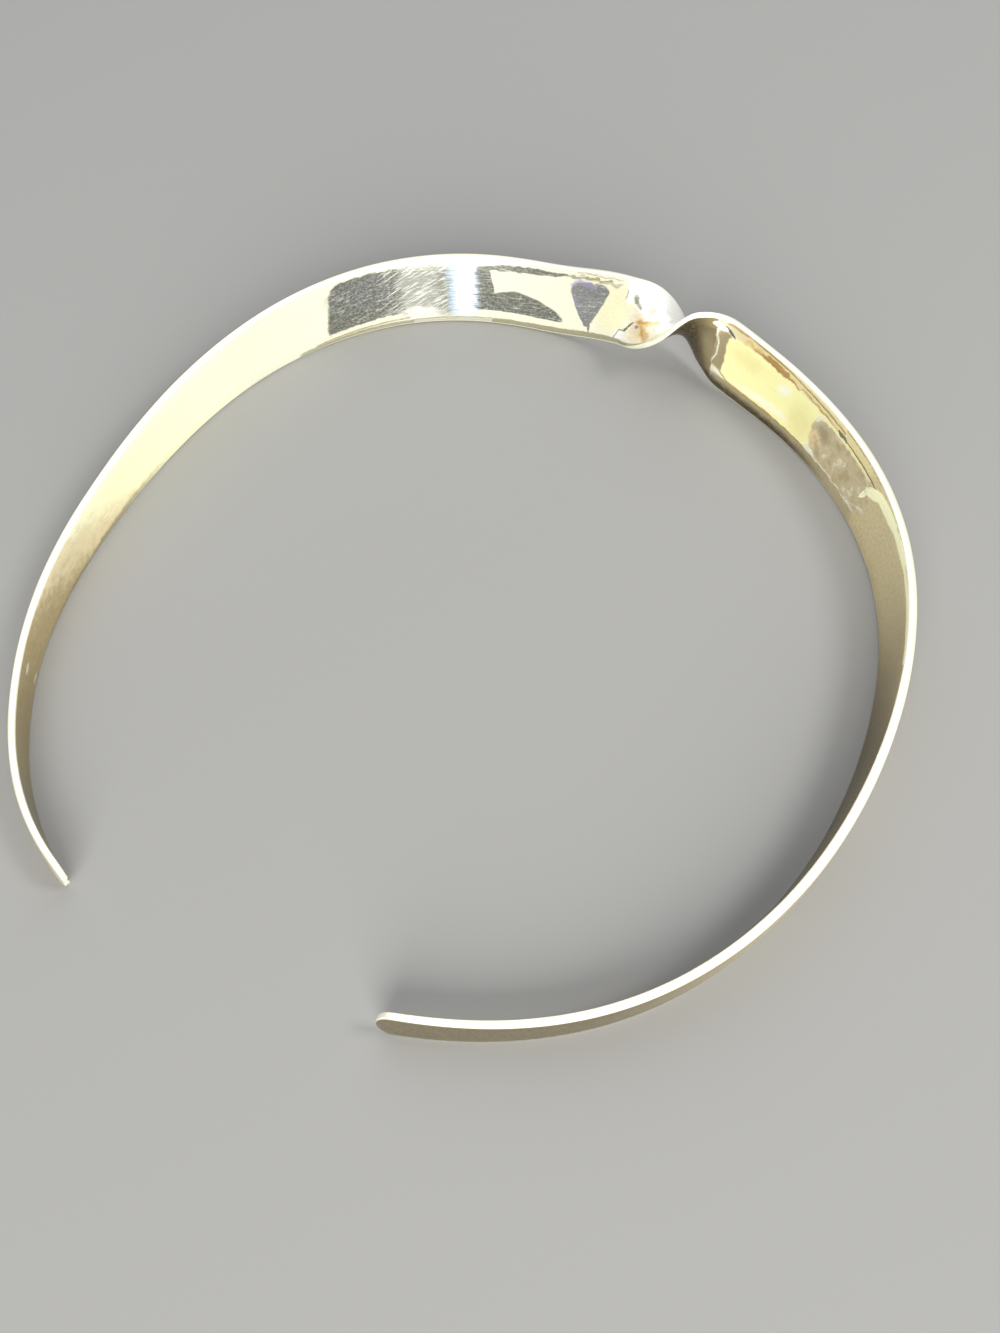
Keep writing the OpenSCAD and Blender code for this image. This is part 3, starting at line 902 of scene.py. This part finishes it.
class CHOKER_PG_finish(bpy.types.PropertyGroup):
    """How worn the silver is, and how strong the painted highlight on its rims is."""
    scratches: share_property("Scratches", "Strength of the bright strokes over the film", 0.85)
    grain: share_property("Grain", "Strength of the grain on the satin arms", 0.30)
    tarnish: share_property("Tarnish", "Strength of the brown and amber stains", 1.0)
    # Also sets the strength of the painted highlight on the rims
    rubbed_and_highlit_rims: share_property("Rubbed rims", "How bright the rims are rubbed", 0.95)


def angle_property(name, description, degrees):
    return bpy.props.FloatProperty(name=name, description=description, default=math.radians(degrees),
                                   subtype="ANGLE")


def power_property(name, description, watts):
    return bpy.props.FloatProperty(name=name, description=description, default=watts, min=0, unit="POWER")


class CHOKER_PG_stage(bpy.types.PropertyGroup):
    """Floor, light and camera. Headings are measured from the camera's side, to its right."""
    floor_colour: colour_property("Floor", "Colour of the floor", (0.30, 0.30, 0.297, 1))
    key_power: power_property("Key power", "Power of the key light", 4.5)
    key_heading: angle_property("Key heading", "Side from which the key light comes", 75)
    key_height: angle_property("Key height", "Height of the key light over the floor", 50)
    front_power: power_property("Front power", "Power of the soft light beside the camera", 24)
    front_heading: angle_property("Front heading", "Side from which the front light comes", -4)
    front_height: angle_property("Front height", "Height of the front light over the floor", 27)
    far_power: power_property("Far power", "Power of the wide light behind the choker", 9)
    far_heading: angle_property("Far heading", "Side from which the far light comes", 180)
    far_height: angle_property("Far height", "Height of the far light over the floor", 50)
    sky: size_property("Room light", "Strength of the light all round", 0.32)
    lens: size_property("Lens", "Focal length in millimetres", 40.3)
    roll: angle_property("Roll", "Roll of the camera", -5.58)


class CHOKER_OT_add_band(bpy.types.Operator):
    """Draws out, bends, twists and finishes the silver band"""
    bl_idname = "choker.add_band"
    bl_label = "Add Silver Band"

    def execute(self, context):
        band = context.scene.choker_band
        bar = draw_profile(band)
        bar.name = bar.data.name = "silver_band"
        places, run = draw_out(band)
        mark_places(band, bar, places, run)
        bend(band, bar, plan_line(band, places))
        low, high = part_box("collar_band")
        own_low = Vector([min(v.co[k] for v in bar.data.vertices) for k in range(3)])
        own_high = Vector([max(v.co[k] for v in bar.data.vertices) for k in range(3)])
        shift = (low + high - own_low - own_high) / 2
        shift.z = -own_low.z
        bpy.ops.object.mode_set(mode="EDIT")
        bpy.ops.mesh.select_all(action="SELECT")
        bpy.ops.transform.translate(value=shift)
        bpy.ops.object.mode_set(mode="OBJECT")
        bpy.ops.object.shade_smooth()
        groups = patch_group(), line_group(), scratch_group()
        for stretch in zip(STRETCH_ENDS, STRETCH_ENDS[1:]):
            bar.data.materials.append(worn_silver(context.scene.choker_finish, groups, stretch))
        strip = bar.data.attributes["strip_place"].data
        for face in bar.data.polygons:
            along = sum(strip[corner].vector.x for corner in face.vertices) / len(face.vertices) / MM
            face.material_index = sum(along > end for end in STRETCH_ENDS[1:-1])
        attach(bar, "root")
        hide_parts("collar_band")
        return {"FINISHED"}


CAMERA_PLACE = Vector((-0.0777, 0.1052, 0.1931))
CAMERA_TARGET = Vector((-0.00705, 0.0055, 0))
FLOOR_SIZE = 4
ROOM_COLOUR = (0.92, 0.95, 1.0, 1)
# Lights: name, distance and size in metres, colour
LIGHTS = (
    ("key", 1.1, 0.3, (1, 0.98, 0.94)),
    ("front", 1.2, 0.9, (1, 0.98, 0.92)),
    ("far", 1.2, 1.5, (1, 1, 1)),
)


def seen_from(heading, height, distance):
    """A place round the choker. A heading of 0 is the camera's side, and a quarter turn its right."""
    toward = (CAMERA_PLACE - CAMERA_TARGET) * Vector((1, 1, 0))
    toward.normalize()
    right = Vector((-toward.y, toward.x, 0))
    side = toward * math.cos(heading) + right * math.sin(heading)
    return (side * math.cos(height) + Vector((0, 0, math.sin(height)))) * distance


def aim(piece, target):
    piece.rotation_mode = "QUATERNION"
    piece.rotation_quaternion = (target - piece.location).to_track_quat("-Z", "Y")


def add_light(stage, name, distance, size, colour):
    heading, height, power = (getattr(stage, f"{name}_{kind}") for kind in ("heading", "height", "power"))
    bpy.ops.object.light_add(type="AREA", location=seen_from(heading, height, distance))
    light = bpy.context.object
    light.name = name + "_light"
    light.data.size = size
    light.data.energy = power
    light.data.color = colour
    aim(light, Vector((0, 0, 0)))


class CHOKER_OT_add_stage(bpy.types.Operator):
    """Adds the floor, the lights and the camera"""
    bl_idname = "choker.add_stage"
    bl_label = "Add Stage"

    def execute(self, context):
        stage = context.scene.choker_stage
        bpy.ops.object.select_all(action="DESELECT")
        bpy.ops.mesh.primitive_plane_add(size=FLOOR_SIZE)
        floor = context.object
        floor.name = "floor"
        floor.data.materials.append(floor_material(stage))
        for light in LIGHTS:
            add_light(stage, *light)
        world = bpy.data.worlds.new("room")
        world.use_nodes = True
        background = world.node_tree.nodes["Background"]
        background.inputs["Color"].default_value = ROOM_COLOUR
        background.inputs["Strength"].default_value = stage.sky
        context.scene.world = world
        context.scene.view_settings.view_transform = "Standard"
        bpy.ops.object.camera_add(location=CAMERA_PLACE)
        camera = context.object
        camera.name = "photo_camera"
        aim(camera, CAMERA_TARGET)
        camera.rotation_quaternion = camera.rotation_quaternion @ Quaternion((0, 0, 1), stage.roll)
        camera.data.sensor_width = 36
        camera.data.lens = stage.lens
        camera.data.clip_start = 0.005
        context.scene.camera = camera
        return {"FINISHED"}


class CHOKER_PT_panel(bpy.types.Panel):
    """Lists the choker's steps"""
    bl_label = "Twisted Choker"
    bl_idname = "CHOKER_PT_panel"
    bl_space_type = "VIEW_3D"
    bl_region_type = "UI"
    bl_category = "Choker"

    def draw(self, context):
        for group in (context.scene.choker_band, context.scene.choker_finish, context.scene.choker_stage):
            box = self.layout.box()
            for name in group.__annotations__:
                box.prop(group, name)
        self.layout.operator(CHOKER_OT_add_band.bl_idname)
        self.layout.operator(CHOKER_OT_add_stage.bl_idname)


CLASSES = (CHOKER_PG_band, CHOKER_PG_finish, CHOKER_PG_stage, CHOKER_OT_add_band, CHOKER_OT_add_stage,
           CHOKER_PT_panel)


def register():
    for each in CLASSES:
        bpy.utils.register_class(each)
    bpy.types.Scene.choker_band = bpy.props.PointerProperty(type=CHOKER_PG_band)
    bpy.types.Scene.choker_finish = bpy.props.PointerProperty(type=CHOKER_PG_finish)
    bpy.types.Scene.choker_stage = bpy.props.PointerProperty(type=CHOKER_PG_stage)


def unregister():
    del bpy.types.Scene.choker_band
    del bpy.types.Scene.choker_finish
    del bpy.types.Scene.choker_stage
    for each in reversed(CLASSES):
        bpy.utils.unregister_class(each)


def main():
    register()
    bpy.ops.choker.add_band()
    bpy.ops.choker.add_stage()


if __name__ == "__main__":
    main()
